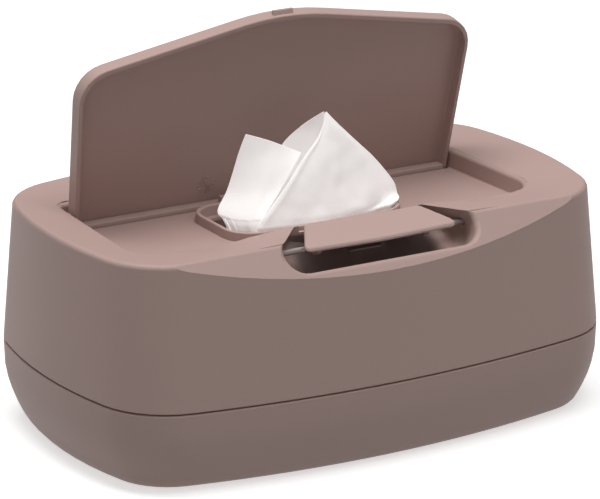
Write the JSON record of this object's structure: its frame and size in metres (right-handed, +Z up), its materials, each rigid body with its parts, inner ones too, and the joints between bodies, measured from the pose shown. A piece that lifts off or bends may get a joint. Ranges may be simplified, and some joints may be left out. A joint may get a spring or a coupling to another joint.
{
  "type": "wipes box",
  "caption": "Moulded wipes dispenser box: deep tray, lift-off upper housing with a raised oval mouth, hinged flush lid standing open, rocking button, and a wipe drawn up.",
  "frame": {"origin": "middle of the underside, on the surface that the feet stand on", "axes": "+X to the right along the long side, +Y to the back where the lid is hinged, +Z up"},
  "size_m": [0.24, 0.1558, 0.1673],
  "materials": {
    "mauve_plastic": "fine matt moulded plastic, dusty mauve",
    "button_plastic": "fine matt moulded plastic, a touch paler",
    "steel": "bright drawn wire",
    "foot_rubber": "soft matt rubber",
    "wipe_cloth": "damp nonwoven cloth"
  },
  "bodies": {
    "tray": {"base_tray": "mauve_plastic", "foot_1": "foot_rubber", "foot_2": "foot_rubber", "foot_3": "foot_rubber", "foot_4": "foot_rubber", "wipe_stack": "wipe_cloth"},
    "upper": {"housing": "mauve_plastic", "latch_pin": "steel", "latch_spring": "steel", "pulled_wipe": "wipe_cloth"},
    "lid": {"lid": "mauve_plastic"},
    "button": {"latch_button": "button_plastic"}
  },
  "joints": [
    {"name": "housing_lift", "type": "slide", "parent": "tray", "child": "upper", "axis": [0, 0, 1], "range_m": [0, 0.09]},
    {"name": "lid_hinge", "type": "hinge", "parent": "upper", "child": "lid", "pos_m": [0, 0.034, 0.0875], "axis": [1, 0, 0], "range_deg": [0, 78], "deforming": ["pulled_wipe"]},
    {"name": "button_rock", "type": "hinge", "parent": "upper", "child": "button", "pos_m": [0, -0.055, 0.089], "axis": [1, 0, 0], "range_deg": [0, 6], "stiffness_Nm_per_rad": 0.4, "deforming": ["latch_spring"]}
  ]
}
